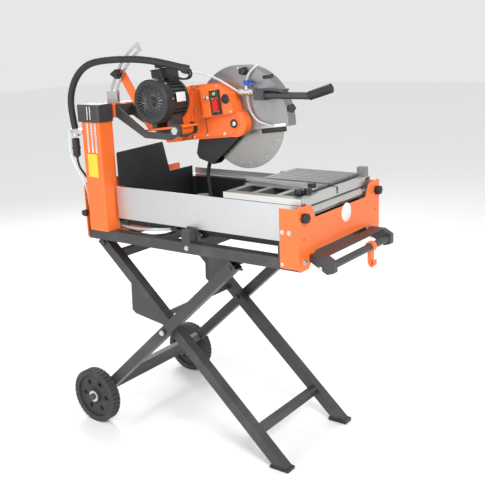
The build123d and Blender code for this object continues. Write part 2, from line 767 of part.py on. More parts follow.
for y_axle, axle_name in zip(cart_axles, ("front", "rear")):
    with BuildPart() as cart_wheels:
        half = cart_wheel_x + cart_wheel_width / 2
        rod_x(-half - 1, half + 1, y_axle, axle_z, cart_axle_radius)
        for side in (-1, 1):
            x0 = side * cart_wheel_x
            rod_x(x0 - cart_wheel_width / 2, x0 + cart_wheel_width / 2, y_axle, axle_z,
                  cart_wheel_radius)
    save(cart_wheels.part, f"cart_wheels_{axle_name}")

# ---- hoses and cables held on the frame -------------------------------------------------------------
def bend_radii(points):
    """The arc at each corner of a route, as large as its two runs allow."""
    radii = []
    for before, at, after in zip(points, points[1:], points[2:]):
        run_in = Vector(*at) - Vector(*before)
        run_out = Vector(*after) - Vector(*at)
        turn = radians(run_in.get_angle(run_out))
        radii.append(0.45 * min(run_in.length, run_out.length) / tan(turn / 2))
    return radii


def route_tube(name, points, diameter):
    """A round cord along straight runs joined by tangent arcs."""
    radii = bend_radii(points)
    print(name, "bend radii", [round(r) for r in radii])
    with BuildPart() as tube:
        with BuildLine() as path:
            FilletPolyline(*points, radius=radii)
        with BuildSketch(Plane(origin=path.line @ 0, z_dir=path.line % 0)):
            Circle(diameter / 2)
        sweep(path=path.line)
    length = sum(edge.length for edge in path.line.edges())
    section = pi * diameter ** 2 / 4
    print(name, "length", round(length), "volume ratio", round(tube.part.volume / (section * length), 4))
    return tube.part


conduit_diameter = 26.0
conduit_route = [
    (-272, 512, 1212),
    (-272, 526, 1280),
    (-272, 526, 1352),
    (-271, 489, 1423),
    (-269, 425, 1470),
    (-265, 340, 1485),
    (-252, 190, 1488),
    (-226, 76, 1472),
    (-196, -10, 1446),
]
power_conduit = route_tube("power_conduit", conduit_route, conduit_diameter)
save(power_conduit, "power_conduit")


pump_hose_route = [
    (-288, 530, 1222),
    (-290, 541, 1150),
    (-290, 516, 1082),
    (-289, 457, 1005),
    (-284, 457, 930),
    (-268, 466, 886),
    (-206, 456, 849),
    (-208, 380, 843),
    (-225, 305, 841),
    (-231, 225, 845),
    (-231, 150, 852),
    (-229, 80, 862),
]
pump_hose_diameter = 12.0
save(route_tube("pump_hose", pump_hose_route, pump_hose_diameter), "pump_hose")

plug_top = 1190.0
plug_bottom = 1112.0
plug_x = -270.0
plug_y = 520.0
cable_diameter = 9.0
pump_cable_route = [
    (plug_x, plug_y, plug_bottom - 1),
    (-270, 516, 1078),
    (-268, 492, 1052),
    (-265, 457, 1008),
    (-262, 457, 960),
    (-250, 464, 903),
    (-190, 450, 846),
    (-194, 366, 833),
    (-214, 290, 824),
    (-228, 220, 822),
    (-232, 150, 829),
    (-231, 86, 845),
]
pump_cable = route_tube("pump_cable", pump_cable_route, cable_diameter)
save(pump_cable, "pump_cable")

with BuildPart() as cable_plug:
    rod_z(plug_bottom, plug_top, plug_x, plug_y, 15)
    chamfer(cable_plug.faces().sort_by(Axis.Z)[0].edges(), 9)
    chamfer(cable_plug.faces().sort_by(Axis.Z)[-1].edges(), 4)
    rod_z(plug_bottom + 36, plug_bottom + 44, plug_x, plug_y, 17)
save(cable_plug.part, "cable_plug")

pump_x = 110.0
pump_y = body_rear - 150
pump_floor = tray_bottom + tray_wall
with BuildPart() as water_pump:
    rod_z(pump_floor, pump_floor + 14, pump_x, pump_y, 46)
    rod_z(pump_floor + 14, pump_floor + 70, pump_x, pump_y, 38)
    fillet(water_pump.faces().sort_by(Axis.Z)[-1].edges(), 8)
    rod_x(pump_x, pump_x + 58, pump_y, pump_floor + 30, 9)
save(water_pump.part, "water_pump")

# ---- head: motor -----------------------------------------------------------------------------------
fin_count = 30
fin_depth = 8.0
rotor_bore = 50.0
motor_shaft = 9.0
motor_foot_w = 16.0
cowl_left = -250.0
pitch_c = cos(radians(head_pitch))
pitch_s = sin(radians(head_pitch))
knob_plane = Plane(
    origin=head_point(-190, motor_u - 22, motor_w + motor_radius + gap),
    x_dir=(1, 0, 0),
    z_dir=(0, pitch_s, pitch_c),
)
with BuildPart() as motor_housing:
    # boss under the belt tension knob
    with BuildSketch(knob_plane.offset(-gap - 24)):
        Circle(10)
    extrude(amount=24)
    head_disc(motor_left, motor_flange_x, motor_u, motor_w, motor_radius - fin_depth)
    with BuildSketch(head_plane(motor_left, motor_u, motor_w)):
        with PolarLocations(motor_radius - fin_depth, fin_count):
            Rectangle(2 * fin_depth, 3)
    extrude(amount=motor_flange_x - motor_left - 10)
    head_disc(motor_flange_x - 10, motor_flange_x, motor_u, motor_w, motor_radius)
    for foot_u in (motor_u - 52, motor_u + 28):
        head_slab(-200, -142, [
            (foot_u, motor_foot_w),
            (foot_u + 24, motor_foot_w),
            (foot_u + 24, motor_w - 56),
            (foot_u, motor_w - 56),
        ])
    head_disc(motor_left, motor_flange_x - 10, motor_u, motor_w, rotor_bore, Mode.SUBTRACT)
    head_disc(motor_flange_x - 10, motor_flange_x, motor_u, motor_w, motor_shaft + 3, Mode.SUBTRACT)
save(motor_housing.part, "motor_housing")

cowl_wall = 3.0
grille_slots = 28
with BuildPart() as fan_cowl:
    head_disc(cowl_left, motor_left, motor_u, motor_w, motor_radius + 3)
    fillet(fan_cowl.faces().sort_by(Axis.X)[0].edges(), 9)
    head_disc(cowl_left + cowl_wall, motor_left, motor_u, motor_w, motor_radius + 3 - cowl_wall,
              Mode.SUBTRACT)
    with BuildSketch(head_plane(cowl_left, motor_u, motor_w)):
        with PolarLocations(40, grille_slots):
            SlotOverall(44, 4)
    extrude(amount=cowl_wall, mode=Mode.SUBTRACT)
save(fan_cowl.part, "fan_cowl")

rotor_right = -35.0
fan_blades = 9
with BuildPart() as motor_rotor:
    head_disc(cowl_left + 12, rotor_right, motor_u, motor_w, motor_shaft)
    head_disc(motor_left + 16, motor_flange_x - 24, motor_u, motor_w, rotor_bore - 8)
    head_disc(cowl_left + 14, cowl_left + 20, motor_u, motor_w, motor_radius - 10)
    with BuildSketch(head_plane(cowl_left + 20, motor_u, motor_w)):
        with PolarLocations(41, fan_blades):
            Rectangle(48, 4)
    extrude(amount=20)
save(motor_rotor.part, "motor_rotor")

belt_x0 = -54.0
belt_x1 = -40.0
drive_radius = 28.0
driven_radius = 30.0
with BuildPart() as drive_pulley:
    head_disc(belt_x0 - 3, belt_x1 + 3, motor_u, motor_w, drive_radius)
    head_disc(belt_x0 - 3, belt_x0, motor_u, motor_w, drive_radius + 4)
    head_disc(belt_x1, belt_x1 + 3, motor_u, motor_w, drive_radius + 4)
    head_disc(belt_x0 - 3, belt_x1 + 3, motor_u, motor_w, motor_shaft, Mode.SUBTRACT)
save(drive_pulley.part, "drive_pulley")

box_w = motor_w + motor_radius
with BuildPart() as junction_box:
    head_slab(-176, -122, [
        (motor_u - 46, box_w - 22),
        (motor_u + 40, box_w - 22),
        (motor_u + 40, box_w + 30),
        (motor_u - 46, box_w + 34),
    ], corner=5)
    head_disc(-176, -122, motor_u, motor_w, motor_radius + 0.2, Mode.SUBTRACT)
save(junction_box.part, "junction_box")

# ---- head: tilt tube and motor base ---------------------------------------------------------------
base_left = -203.0
base_right = -139.0
with BuildPart() as head_base:
    head_disc(base_left, base_right, 0, 0, 19)
    head_slab(base_left, base_right, [(-40, 8), (160, 8), (160, motor_foot_w), (-40, motor_foot_w)])
    head_slab(base_left, base_right, [(-15, 0), (15, 0), (15, 9), (-15, 9)])
    head_disc(base_left, base_right, 0, 0, pivot_shaft_radius + run_fit, Mode.SUBTRACT)
save(head_base.part, "head_base")

clamp_y = head_pivot_y + arc_radius * cos(radians(clamp_angle))
clamp_z = head_pivot_z + arc_radius * sin(radians(clamp_angle))
clamp_u = (clamp_y - head_pivot_y) * pitch_c - (clamp_z - head_pivot_z) * pitch_s
clamp_w = (clamp_y - head_pivot_y) * pitch_s + (clamp_z - head_pivot_z) * pitch_c
clamp_bolt = 3.0
arm_x0 = arc_x + arc_plate / 2 + 6 + gap
arm_x1 = arm_x0 + 6
with BuildPart() as clamp_arm:
    head_slab(arm_x0, arm_x1, [
        (129, motor_foot_w),
        (158, motor_foot_w),
        (170, 34),
        (clamp_u + 16, clamp_w - 8),
        (clamp_u - 16, clamp_w + 8),
        (136, 44),
    ])
    head_disc(arm_x0, arm_x1, clamp_u, clamp_w, 17)
    head_disc(arm_x0, arm_x1, clamp_u, clamp_w, clamp_bolt + run_fit, Mode.SUBTRACT)
save(clamp_arm.part, "clamp_arm")

clamp_knob_x = arc_x - arc_plate / 2 - 6 - gap
with BuildPart() as arc_clamp_knob:
    rod_x(clamp_knob_x, arm_x1 + 4, clamp_y, clamp_z, clamp_bolt)
    with BuildSketch(side_plane(clamp_knob_x - 22)):
        with Locations((clamp_y, clamp_z)):
            Circle(13)
            with PolarLocations(13, 3):
                Circle(7)
    extrude(amount=22)
    fillet(arc_clamp_knob.faces().sort_by(Axis.X)[0].edges(), 3)
save(arc_clamp_knob.part, "arc_clamp_knob")

with BuildPart() as tension_knob:
    with BuildSketch(knob_plane):
        Circle(5)
    extrude(amount=42)
    with BuildSketch(knob_plane.offset(38)):
        Circle(15)
        with PolarLocations(15, 6):
            Circle(5)
    extrude(amount=15)
save(tension_knob.part, "tension_knob")

# ---- head: belt housing -----------------------------------------------------------------------------
housing_x0 = -60.0
housing_x1 = -27.0
housing_back = 6.0
housing_wall = 4.0
arm_end_radius = 50.0
cover_plate = 4.0
housing_points = [(145, -46), (118, 158), (-111, 149), (-164, 108), (-172, 30), (spindle_u, -52)]
collar_points = [(62, -46), (145, -46), (118, 158), (30, 154)]


def housing_outline(x, inset=0.0):
    """Side outline of the belt housing, drawn at one X position."""
    with BuildSketch(head_plane(x)) as outline:
        with BuildLine():
            Polyline(*housing_points, close=True)
        make_face()
        fillet(vertices(), 12)
        with Locations((spindle_u, spindle_w)):
            Circle(arm_end_radius)
        if inset:
            offset(amount=-inset, mode=Mode.REPLACE)
    return outline.sketch


with BuildPart() as belt_housing:
    extrude(housing_outline(housing_x0), amount=housing_x1 - housing_x0)
    extrude(housing_outline(housing_x0, housing_wall), amount=housing_x1 - housing_x0 - housing_back,
            mode=Mode.SUBTRACT)
    head_slab(motor_flange_x, housing_x0 + 1, collar_points, corner=10)
    head_slab(motor_flange_x + 6, housing_x0 + 1, [
        (69, -40), (138, -40), (112, 151), (37, 148),
    ], Mode.SUBTRACT, corner=6)
    head_disc(motor_flange_x, motor_flange_x + 6, motor_u, motor_w, motor_shaft + 3, Mode.SUBTRACT)
    head_disc(housing_x1 - housing_back, housing_x1, spindle_u, spindle_w, arbor_radius + run_fit,
              Mode.SUBTRACT)
save(belt_housing.part, "belt_housing")

with BuildPart() as belt_cover:
    extrude(housing_outline(housing_x0 - cover_plate), amount=cover_plate)
    head_slab(housing_x0 - cover_plate, housing_x0, [
        (61, -80), (190, -80), (190, 200), (24, 200), (29.5, 154),
    ], Mode.SUBTRACT)
    head_disc(housing_x0 - cover_plate - 5, housing_x0 - cover_plate, spindle_u, spindle_w, 20)
    head_disc(housing_x0 - cover_plate - 5, housing_x0 - cover_plate - 2, spindle_u, spindle_w, 9,
              Mode.SUBTRACT)
save(belt_cover.part, "belt_cover")

with BuildPart() as drive_belt:
    with BuildSketch(head_plane(belt_x0 + 1)):
        with Locations((motor_u, motor_w)):
            Circle(drive_radius + 6)
        with Locations((spindle_u, spindle_w)):
            Circle(driven_radius + 6)
        make_hull()
    extrude(amount=belt_x1 - belt_x0 - 2)
    with BuildSketch(head_plane(belt_x0 + 1)):
        with Locations((motor_u, motor_w)):
            Circle(drive_radius + 0.4)
        with Locations((spindle_u, spindle_w)):
            Circle(driven_radius + 0.4)
        make_hull()
    extrude(amount=belt_x1 - belt_x0 - 2, mode=Mode.SUBTRACT)
save(drive_belt.part, "drive_belt")

# ---- head: spindle and blade -----------------------------------------------------------------------
spindle_right = 20.0
with BuildPart() as spindle:
    head_disc(belt_x0 - 3, spindle_right, spindle_u, spindle_w, arbor_radius)
    head_disc(belt_x0 - 3, belt_x1 + 3, spindle_u, spindle_w, driven_radius)
save(spindle.part, "spindle")

flange_radius = 45.0
flange_thick = 6.5
with BuildPart() as blade_clamp:
    for x0 in (-blade_thickness / 2 - flange_thick, blade_thickness / 2):
        head_disc(x0, x0 + flange_thick, spindle_u, spindle_w, flange_radius)
    with BuildSketch(head_plane(blade_thickness / 2 + flange_thick, spindle_u, spindle_w)):
        RegularPolygon(21, 6)
    extrude(amount=9)
    head_disc(-20, 30, spindle_u, spindle_w, arbor_radius, Mode.SUBTRACT)
save(blade_clamp.part, "blade_clamp")

slot_count = 24
slot_depth = 22.0
segment_depth = 9.0
segment_thick = 3.0
with BuildPart() as blade:
    head_disc(-blade_thickness / 2, blade_thickness / 2, spindle_u, spindle_w, blade_radius - segment_depth)
    with BuildSketch(head_plane(-segment_thick / 2, spindle_u, spindle_w)):
        Circle(blade_radius)
        Circle(blade_radius - segment_depth, mode=Mode.SUBTRACT)
    extrude(amount=segment_thick)
    with BuildSketch(head_plane(-segment_thick / 2, spindle_u, spindle_w)):
        with PolarLocations(blade_radius - slot_depth / 2 + 1, slot_count):
            Rectangle(slot_depth + 2, 2.6)
        with PolarLocations(blade_radius - slot_depth, slot_count):
            Circle(2.6)
        Circle(arbor_radius)
    extrude(amount=segment_thick, mode=Mode.SUBTRACT)
save(blade.part, "blade")

# ---- head: guard, shroud and hose ---------------------------------------------------------------------
guard_wall = 3.0
guard_cut = -36.0
with BuildPart() as blade_guard:
    head_disc(-guard_half, guard_half, spindle_u, spindle_w, guard_radius)
    head_disc(-guard_half + guard_wall, guard_half - guard_wall, spindle_u, spindle_w,
              guard_radius - guard_wall, Mode.SUBTRACT)
    head_slab(-guard_half - 1, guard_half + 1, [
        (spindle_u - guard_radius - 5, guard_cut),
        (spindle_u - guard_radius - 5, -guard_radius - 20),
        (spindle_u + guard_radius + 5, -guard_radius - 20),
        (spindle_u + guard_radius + 5, guard_cut),
    ], Mode.SUBTRACT)
    head_disc(-guard_half - 2, -guard_half, spindle_u, spindle_w, 32)
    head_disc(-guard_half - 2, -guard_half + guard_wall, spindle_u, spindle_w, 17, Mode.SUBTRACT)
save(blade_guard.part, "blade_guard")

shroud_half = 26.0
shroud_wall = 3.0
with BuildPart() as guard_shroud:
    head_slab(-shroud_half, shroud_half, [
        (-160, guard_cut), (50, guard_cut), (66, -72), (78, -104), (68, -124), (3, -151),
        (-16, -138), (-138, -57),
    ])
    head_slab(-shroud_half + shroud_wall, shroud_half - shroud_wall, [
        (-180, guard_cut + 1), (47, guard_cut + 1), (62, -72), (74, -103), (65, -121), (2, -147),
        (-30, -170), (-180, -80),
    ], Mode.SUBTRACT)
save(guard_shroud.part, "guard_shroud")

hose_start = head_point(0, 38, -140)
drain_route = [
    hose_start,
    (0, 78, 1054),
    (0, 79, 1006),
    (0, 72, 950),
]
drain_diameter = 15.0
save(route_tube("drain_hose", drain_route, drain_diameter), "drain_hose")

# ---- head: handle ---------------------------------------------------------------------------------------
handle_x = -60.0
handle_z = body_bottom + 468
handle_rear = front_face + 312
handle_front = front_face + 86
handle_radius = 12.5
bracket_half = 17.0
with BuildPart() as head_handle:
    rod_y(handle_front, handle_rear, handle_x, handle_z, handle_radius)
    block(handle_x - bracket_half, -guard_half, handle_rear - 44, handle_rear, handle_z - bracket_half,
          handle_z + bracket_half)
    block(handle_x - 16, handle_x + 16, handle_front + 96, handle_rear - 20,
          handle_z + bracket_half, handle_z + bracket_half + 6)
    block(handle_x - 9, handle_x + 9, handle_front + 96, handle_front + 112, handle_z,
          handle_z + bracket_half)
save(head_handle.part, "head_handle")

grip_length = 90.0
grip_radius = 17.0
grip_rise = 17.0
with BuildPart() as handle_grip:
    grip_dir = Vector(0, -cos(radians(grip_rise)), sin(radians(grip_rise)))
    with BuildSketch(Plane(origin=(handle_x, handle_front + 6, handle_z), z_dir=grip_dir)):
        Circle(grip_radius)
    extrude(amount=grip_length)
    fillet(handle_grip.edges().filter_by(GeomType.CIRCLE), 6)
    block(handle_x - 30, handle_x + 30, handle_front, handle_front + 40, handle_z - 30, handle_z + 30,
          Mode.SUBTRACT)
save(handle_grip.part, "handle_grip")

# ---- head: switches and water -----------------------------------------------------------------------------
box_x0 = -86.0
box_x1 = housing_x0 - cover_plate
box_wall = 3.0
rocker_u = -96.0
rocker_w = 72.0
rocker_size = (22.0, 42.0)
button_u = -150.0
button_w = 88.0
button_radius = 10.0
button_travel = 3.0
with BuildPart() as switch_box:
    head_slab(box_x0, box_x1, [(-30, 30), (-30, 146), (-112, 144), (-162, 106), (-170, 34)], corner=6)
    head_slab(box_x0 + box_wall, box_x1, [(-33, 33), (-33, 143), (-111, 141), (-159, 104.5), (-166.5, 37)],
              Mode.SUBTRACT, corner=4)
    head_slab(box_x0, box_x0 + box_wall, [
        (rocker_u - rocker_size[0] / 2 - 1, rocker_w - rocker_size[1] / 2 - 1.5),
        (rocker_u + rocker_size[0] / 2 + 1, rocker_w - rocker_size[1] / 2 - 1.5),
        (rocker_u + rocker_size[0] / 2 + 1, rocker_w + rocker_size[1] / 2 + 1.5),
        (rocker_u - rocker_size[0] / 2 - 1, rocker_w + rocker_size[1] / 2 + 1.5),
    ], Mode.SUBTRACT)
    head_disc(box_x0 - 5, box_x0, button_u + 3, button_w, button_radius + 6)
    head_disc(box_x0 - 5, box_x0 + box_wall, button_u + 3, button_w, button_radius + gap, Mode.SUBTRACT)
    # raised frame round the rocker
    head_slab(box_x0 - 2, box_x0, [(-72, 34), (-72, 126), (-124, 126), (-124, 34)], corner=4)
    head_slab(box_x0 - 2, box_x0, [
        (rocker_u - rocker_size[0] / 2 - 3, rocker_w - rocker_size[1] / 2 - 4),
        (rocker_u + rocker_size[0] / 2 + 3, rocker_w - rocker_size[1] / 2 - 4),
        (rocker_u + rocker_size[0] / 2 + 3, rocker_w + rocker_size[1] / 2 + 4),
        (rocker_u - rocker_size[0] / 2 - 3, rocker_w + rocker_size[1] / 2 + 4),
    ], Mode.SUBTRACT)
save(switch_box.part, "switch_box")

with BuildPart() as rocker_switch:
    head_slab(box_x0 - 7, box_x0 + 10, [
        (rocker_u - rocker_size[0] / 2, rocker_w - rocker_size[1] / 2),
        (rocker_u + rocker_size[0] / 2, rocker_w - rocker_size[1] / 2),
        (rocker_u + rocker_size[0] / 2, rocker_w + rocker_size[1] / 2),
        (rocker_u - rocker_size[0] / 2, rocker_w + rocker_size[1] / 2),
    ])
save(rocker_switch.part, "rocker_switch")

with BuildPart() as stop_button:
    head_disc(box_x0 - 11, box_x0 + 15, button_u + 3, button_w, button_radius)
    fillet(stop_button.faces().sort_by(Axis.X)[0].edges(), 3)
save(stop_button.part, "stop_button")

valve_x = -50.0
valve_y = -156.0
valve_z = 1358.0
valve_radius = 11.0
valve_top = valve_z + 22
with BuildPart() as water_valve:
    rod_y(valve_y - 33, valve_y + 33, valve_x, valve_z, valve_radius)
    rod_y(valve_y - 22, valve_y - 14, valve_x, valve_z, valve_radius + 3)
    rod_y(valve_y + 14, valve_y + 22, valve_x, valve_z, valve_radius + 3)
    rod_z(valve_z, valve_top, valve_x, valve_y, 7)
    block(valve_x, -guard_half, valve_y - 9, valve_y + 9, valve_z - 7, valve_z + 7)
save(water_valve.part, "water_valve")

with BuildPart() as valve_lever:
    rod_z(valve_top + gap, valve_top + 13, valve_x, valve_y, 9)
    block(valve_x - 6, valve_x + 6, valve_y - 40, valve_y, valve_top + 4, valve_top + 10)
    fillet(valve_lever.edges().filter_by(Axis.Z), 2)
save(valve_lever.part, "valve_lever")

tube_diameter = 8.0
supply_route = [
    (-96, 96, 1424),
    (-92, 36, 1432),
    (-78, -30, 1414),
    (-60, -86, 1380),
    (valve_x, valve_y + 36, valve_z),
]
rim_route = [
    (-38, valve_y + 14, 1372),
    (-37, -146, 1400),
    (-36, -164, 1432),
    (-24, -196, 1456),
]
face_route = [
    (-38, -150, valve_z - 14),
    (-36, -150, 1316),
    (-34, -163, 1278),
    (-33, -196, 1246),
    (-33, -252, 1238),
]
save_group(
    "water_tubes",
    route_tube("supply tube", supply_route, tube_diameter),
    route_tube("rim tube", rim_route, tube_diameter),
    route_tube("face tube", face_route, tube_diameter),
)
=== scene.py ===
import json
from math import cos, pi, radians, sin

import bpy
import bmesh
from mathutils import Matrix, Vector


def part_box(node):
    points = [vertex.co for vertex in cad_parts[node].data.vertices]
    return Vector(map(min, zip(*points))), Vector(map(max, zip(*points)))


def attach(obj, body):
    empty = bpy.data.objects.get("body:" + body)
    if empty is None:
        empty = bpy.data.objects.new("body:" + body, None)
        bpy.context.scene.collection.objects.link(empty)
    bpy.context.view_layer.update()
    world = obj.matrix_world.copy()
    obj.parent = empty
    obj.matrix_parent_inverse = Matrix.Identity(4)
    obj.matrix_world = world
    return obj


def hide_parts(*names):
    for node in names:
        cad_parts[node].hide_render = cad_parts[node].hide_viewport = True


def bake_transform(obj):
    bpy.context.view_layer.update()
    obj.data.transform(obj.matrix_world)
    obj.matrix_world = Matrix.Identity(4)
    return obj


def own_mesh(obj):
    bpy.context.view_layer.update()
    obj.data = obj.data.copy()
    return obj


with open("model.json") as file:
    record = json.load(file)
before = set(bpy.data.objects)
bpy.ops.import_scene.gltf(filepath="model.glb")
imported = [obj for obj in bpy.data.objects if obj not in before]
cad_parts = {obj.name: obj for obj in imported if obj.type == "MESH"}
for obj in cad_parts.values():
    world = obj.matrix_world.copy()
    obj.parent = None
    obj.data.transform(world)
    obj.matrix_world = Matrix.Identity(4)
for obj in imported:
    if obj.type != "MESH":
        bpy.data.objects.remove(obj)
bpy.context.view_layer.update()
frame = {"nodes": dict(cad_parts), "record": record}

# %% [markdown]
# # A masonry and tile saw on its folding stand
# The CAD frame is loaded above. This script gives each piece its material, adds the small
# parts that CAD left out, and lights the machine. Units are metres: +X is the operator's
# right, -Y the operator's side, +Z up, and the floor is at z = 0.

nodes = frame["nodes"]
scene = bpy.context.scene

# %% [markdown]
# ## Shader values as ordinary numbers
# A procedural material is mostly arithmetic: noise times a strength, plus a base value.
# Wrapping a node socket in a small class lets that arithmetic be written as it is read,
# and each operator adds the maths node that does the work.


# %% shader helpers
class Value:
    """One float inside a node tree. Arithmetic on it adds math nodes."""

    def __init__(self, tree, socket):
        self.tree = tree
        self.socket = socket

    def _math(self, operation, *others):
        node = self.tree.nodes.new("ShaderNodeMath")
        node.operation = operation
        self.tree.links.new(self.socket, node.inputs[0])
        for slot, other in enumerate(others, start=1):
            connect(self.tree, other, node.inputs[slot])
        return Value(self.tree, node.outputs[0])

    def __add__(self, other):
        return self._math("ADD", other)

    def __sub__(self, other):
        return self._math("SUBTRACT", other)

    def __mul__(self, other):
        return self._math("MULTIPLY", other)

    def above(self, edge, softness=0.05):
        """0 below the edge and 1 above it, with a soft step."""
        return (self - edge)._math("MULTIPLY", 1 / softness)._math("MAXIMUM", 0.0)._math("MINIMUM", 1.0)


def connect(tree, value, socket):
    """Link a Value, or set a plain number or colour."""
    if isinstance(value, Value):
        tree.links.new(value.socket, socket)
    else:
        socket.default_value = value


class Material:
    """A Principled material with methods that add the nodes this script uses."""

    def __init__(self, name):
        self.data = bpy.data.materials.new(name)
        self.data.use_nodes = True
        self.tree = self.data.node_tree
        self.shader = self.tree.nodes["Principled BSDF"]
        self.place = self.node("ShaderNodeTexCoord").outputs["Object"]

    def node(self, kind, **values):
        """Add a node and set or link its named inputs."""
        made = self.tree.nodes.new(kind)
        for name, value in values.items():
            connect(self.tree, value, made.inputs[name.replace("_", " ")])
        return made

    def stretched(self, scale):
        """Object coordinates scaled by three factors."""
        mapping = self.node("ShaderNodeMapping", Scale=scale)
        self.tree.links.new(self.place, mapping.inputs["Vector"])
        return mapping.outputs["Vector"]

    def noise(self, scale, detail=4.0, rough=0.6, stretch=(1, 1, 1)):
        """Noise between 0 and 1 over the piece."""
        made = self.node("ShaderNodeTexNoise", Scale=scale, Detail=detail, Roughness=rough)
        self.tree.links.new(self.stretched(stretch), made.inputs["Vector"])
        return Value(self.tree, made.outputs["Fac"])

    def mix(self, amount, first, second):
        """A colour between two others."""
        made = self.node("ShaderNodeMix")
        made.data_type = "RGBA"
        connect(self.tree, amount, made.inputs["Factor"])
        for socket, colour in ((made.inputs[6], first), (made.inputs[7], second)):
            connect(self.tree, colour if isinstance(colour, Value) else (*colour, 1), socket)
        return Value(self.tree, made.outputs[2])

    def finish(self, colour, roughness, metallic=0.0, coat=0.0, bump=None, depth=0.0002):
        """Connect the finished values to the shader."""
        connect(self.tree, colour, self.shader.inputs["Base Color"])
        connect(self.tree, roughness, self.shader.inputs["Roughness"])
        connect(self.tree, metallic, self.shader.inputs["Metallic"])
        connect(self.tree, coat, self.shader.inputs["Coat Weight"])
        if bump is not None:
            relief = self.node("ShaderNodeBump", Strength=1.0, Distance=depth, Height=bump)
            self.tree.links.new(relief.outputs["Normal"], self.shader.inputs["Normal"])
        return self.data


# %% [markdown]
# ## Materials
# Painted steel gets broad, faint blotches where dust and slurry have dried, tiny dark chips,
# and an orange-peel relief. Bare metal gets streaks along the rolling direction. Plastic and
# rubber get a fine grain. None of these use an image.


# %% material recipes
def painted(name, colour, roughness=0.38, dust=0.12, chips=0.74, coat=0.15):
    """Powder-coated steel."""
    made = Material(name)
    blotch = made.noise(7, 6, 0.62)
    fine = made.noise(260, 3)
    worn = (made.noise(46, 5, 0.7)).above(chips, 0.02)
    grey = tuple(0.55 * c + 0.2 for c in colour)
    soiled = made.mix(blotch.above(0.5, 0.3) * dust, colour, grey)
    final = made.mix(worn * 0.75, soiled, (0.2, 0.19, 0.18))
    rough = blotch * 0.22 + (roughness - 0.09)
    return made.finish(final, rough, worn * 0.6, coat, fine * 0.35 + blotch * 0.4 - worn * 0.6)


def bare_metal(name, colour, roughness=0.32, streak=(3, 3, 90), stains=0.25):
    """Rolled, ground or plated metal."""
    made = Material(name)
    lines = made.noise(6, 3, 0.5, streak)
    spots = made.noise(18, 5, 0.65)
    dull = tuple(c * 0.62 for c in colour)
    final = made.mix(spots.above(0.52, 0.25) * stains, colour, dull)
    return made.finish(final, lines * 0.16 + spots * 0.14 + (roughness - 0.14), 0.92, 0.0,
                       lines * 0.5 + spots * 0.15, 0.00015)


def moulded(name, colour, roughness=0.5, grain=420, dust=0.1, coat=0.0):
    """Plastic or rubber with a fine grain and a little dust."""
    made = Material(name)
    blotch = made.noise(12, 5, 0.6)
    fine = made.noise(grain, 2)
    lighter = tuple(0.7 * c + 0.1 for c in colour)
    final = made.mix(blotch.above(0.5, 0.25) * dust, colour, lighter)
    return made.finish(final, blotch * 0.2 + (roughness - 0.1), 0.0, coat, fine, 0.00012)


def clear_vinyl(name):
    """Clear tubing: pale, glossy, partly see-through."""
    made = Material(name)
    cloud = made.noise(60, 3)
    final = made.mix(cloud * 0.5, (0.72, 0.76, 0.76), (0.5, 0.54, 0.54))
    made.shader.inputs["Alpha"].default_value = 0.55
    return made.finish(final, cloud * 0.1 + 0.12, 0.0, 0.3, cloud, 0.0001)


looks = {
    "orange_paint": painted("orange_paint", (0.84, 0.15, 0.022)),
    "silver_panel": bare_metal("silver_panel", (0.56, 0.57, 0.58), 0.42, (2, 2, 60), 0.12),
    "dark_grey_paint": painted("dark_grey_paint", (0.036, 0.036, 0.039), 0.42, 0.2, 0.78, 0.05),
    "motor_black": painted("motor_black", (0.028, 0.034, 0.036), 0.36, 0.2, 0.8),
    "cowl_black": moulded("cowl_black", (0.016, 0.018, 0.02), 0.5),
    "black_plastic": moulded("black_plastic", (0.012, 0.012, 0.013), 0.42),
    "black_rubber": moulded("black_rubber", (0.011, 0.011, 0.012), 0.55, 300),
    "tyre_rubber": moulded("tyre_rubber", (0.03, 0.03, 0.032), 0.7, 200, 0.35),
    "zinc_steel": bare_metal("zinc_steel", (0.62, 0.62, 0.6), 0.34),
    "guard_metal": bare_metal("guard_metal", (0.3, 0.305, 0.31), 0.46, (4, 4, 4), 0.35),
    "blade_steel": bare_metal("blade_steel", (0.34, 0.335, 0.32), 0.36, (3, 3, 3), 0.4),
    "clear_hose": clear_vinyl("clear_hose"),
    "red_plastic": moulded("red_plastic", (0.55, 0.012, 0.008), 0.3, coat=0.2),
    "blue_plastic": moulded("blue_plastic", (0.012, 0.07, 0.42), 0.3, coat=0.2),
    "green_lamp": moulded("green_lamp", (0.2, 0.45, 0.2), 0.2, coat=0.4),
    "white_plate": painted("white_plate", (0.7, 0.7, 0.68), 0.3, 0.1, 0.8, 0.0),
    "yellow_plate": painted("yellow_plate", (0.8, 0.55, 0.03), 0.3, 0.1, 0.8, 0.0),
    "chrome_trim": bare_metal("chrome_trim", (0.8, 0.8, 0.8), 0.16, (2, 2, 30), 0.05),
}
print(len(looks), "materials")

# %% [markdown]
# ## Dressing the CAD pieces
# The record says which finish each piece has, so the same table dresses the model here.
# Sharp corners stay crisp and round faces are smoothed by angle.


# %% dress the frame
def smooth(piece, angle=32):
    """Smooth the round faces of one object and keep its corners sharp."""
    bpy.ops.object.select_all(action="DESELECT")
    piece.select_set(True)
    bpy.context.view_layer.objects.active = piece
    bpy.ops.object.shade_smooth_by_angle(angle=radians(angle))
    piece.select_set(False)


def dress(piece, slot):
    """Give a piece one material."""
    piece.data.materials.clear()
    piece.data.materials.append(looks[slot])


for part in frame["record"]["subparts"]:
    dress(nodes[part["node"]], part["material_slot"])
    smooth(nodes[part["node"]])
print(len(nodes), "CAD pieces dressed")

# %% [markdown]
# ## Coordinates on the tilted head
# The head is parked seven degrees nose-up about its tilt shaft. Points on it are given along
# the head (u, rearwards) and across it (w, upwards), and turned into the machine's frame here.

